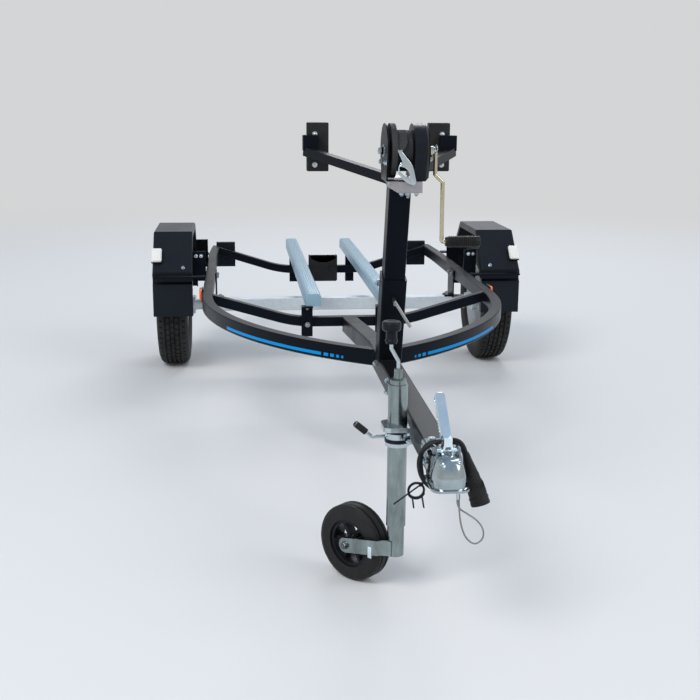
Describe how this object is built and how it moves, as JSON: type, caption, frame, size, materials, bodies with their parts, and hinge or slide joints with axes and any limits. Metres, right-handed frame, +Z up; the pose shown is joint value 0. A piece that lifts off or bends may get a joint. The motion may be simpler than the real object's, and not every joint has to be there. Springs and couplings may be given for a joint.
{
  "type": "boat trailer",
  "caption": "Single-axle trailer for a water scooter: bowed tube frame, two bunks, winch post with bow stop, mudguards, ball coupling and jockey wheel.",
  "frame": {"origin": "on the ground under the middle of the trailer's length and width", "axes": "+Z up, -Y towards the coupling (the way it is towed), +X to the right for someone facing the coupling end"},
  "size_m": [1.624, 3.76, 1.148],
  "materials": {
    "frame_black": "satin black powder coat",
    "zinc": "bright zinc plate",
    "galvanised": "matt galvanised",
    "bunk_pad": "pale grey",
    "black_plastic": "textured",
    "black_rubber": "matt",
    "tyre": "matt",
    "rim_silver": "silver paint",
    "lamp_lens": "clear white lens",
    "tail_lens": "red lens",
    "amber": "amber reflector",
    "strap": "woven strap",
    "steel_wire": "bright wire"
  },
  "bodies": {
    "frame": {"axle_arm_left": "galvanised", "axle_arm_right": "galvanised", "axle_beam": "galvanised", "axle_hangers": "frame_black", "bow_pad_left": "black_rubber", "bow_pad_right": "black_rubber", "bow_stop_arms": "frame_black", "bunk_left": "bunk_pad", "bunk_posts_front": "galvanised", "bunk_posts_rear": "galvanised", "bunk_right": "bunk_pad", "cable_tie": "black_plastic", "coupling_head": "zinc", "coupling_lever": "zinc", "crossbeam_front": "frame_black", "crossbeam_rear": "frame_black", "drawbar": "frame_black", "front_lamps": "lamp_lens", "jockey_clamp": "zinc", "jockey_clamp_lever": "zinc", "keel_rest": "black_rubber", "lead_cable": "black_rubber", "lead_plug": "black_rubber", "mudguard_brackets": "frame_black", "mudguard_left": "black_plastic", "mudguard_right": "black_plastic", "post_clamp_screw": "zinc", "post_sleeve": "frame_black", "safety_wire": "steel_wire", "side_rail_left": "frame_black", "side_rail_right": "frame_black", "side_reflectors": "amber", "tail_lamps": "black_plastic", "tail_lenses": "tail_lens", "winch_bracket": "frame_black", "winch_cover": "black_plastic", "winch_crank": "zinc", "winch_crank_grip": "black_plastic", "winch_drum": "strap", "winch_frame": "frame_black", "winch_hook": "zinc", "winch_post": "frame_black", "wire_ferrule": "zinc"},
    "jockey_leg": {"jockey_tube": "zinc", "jockey_crank": "zinc", "jockey_knob": "black_plastic"},
    "jockey_caster": {"jockey_fork": "zinc"},
    "jockey_wheel": {"jockey_tyre": "black_rubber", "jockey_rim": "black_plastic"},
    "wheel_left": {"tyre_left": "tyre", "rim_left": "rim_silver", "hub_left": "galvanised"},
    "wheel_right": {"tyre_right": "tyre", "rim_right": "rim_silver", "hub_right": "galvanised"}
  },
  "joints": [
    {"name": "wheel_left_spin", "type": "hinge", "parent": "frame", "child": "wheel_left", "pos_m": [-0.733, 1, 0.28], "axis": [1, 0, 0], "continuous": true},
    {"name": "wheel_right_spin", "type": "hinge", "parent": "frame", "child": "wheel_right", "pos_m": [0.733, 1, 0.28], "axis": [1, 0, 0], "continuous": true},
    {"name": "jockey_lift", "type": "slide", "parent": "frame", "child": "jockey_leg", "axis": [0, 0, 1], "range_m": [0, 0.1]},
    {"name": "jockey_swivel", "type": "hinge", "parent": "jockey_leg", "child": "jockey_caster", "pos_m": [-0.061, -1.5, 0.18], "axis": [0, 0, 1], "continuous": true},
    {"name": "jockey_wheel_spin", "type": "hinge", "parent": "jockey_caster", "child": "jockey_wheel", "pos_m": [-0.15186, -1.40425, 0.1], "axis": [-0.7254, -0.6884, 0], "continuous": true}
  ]
}
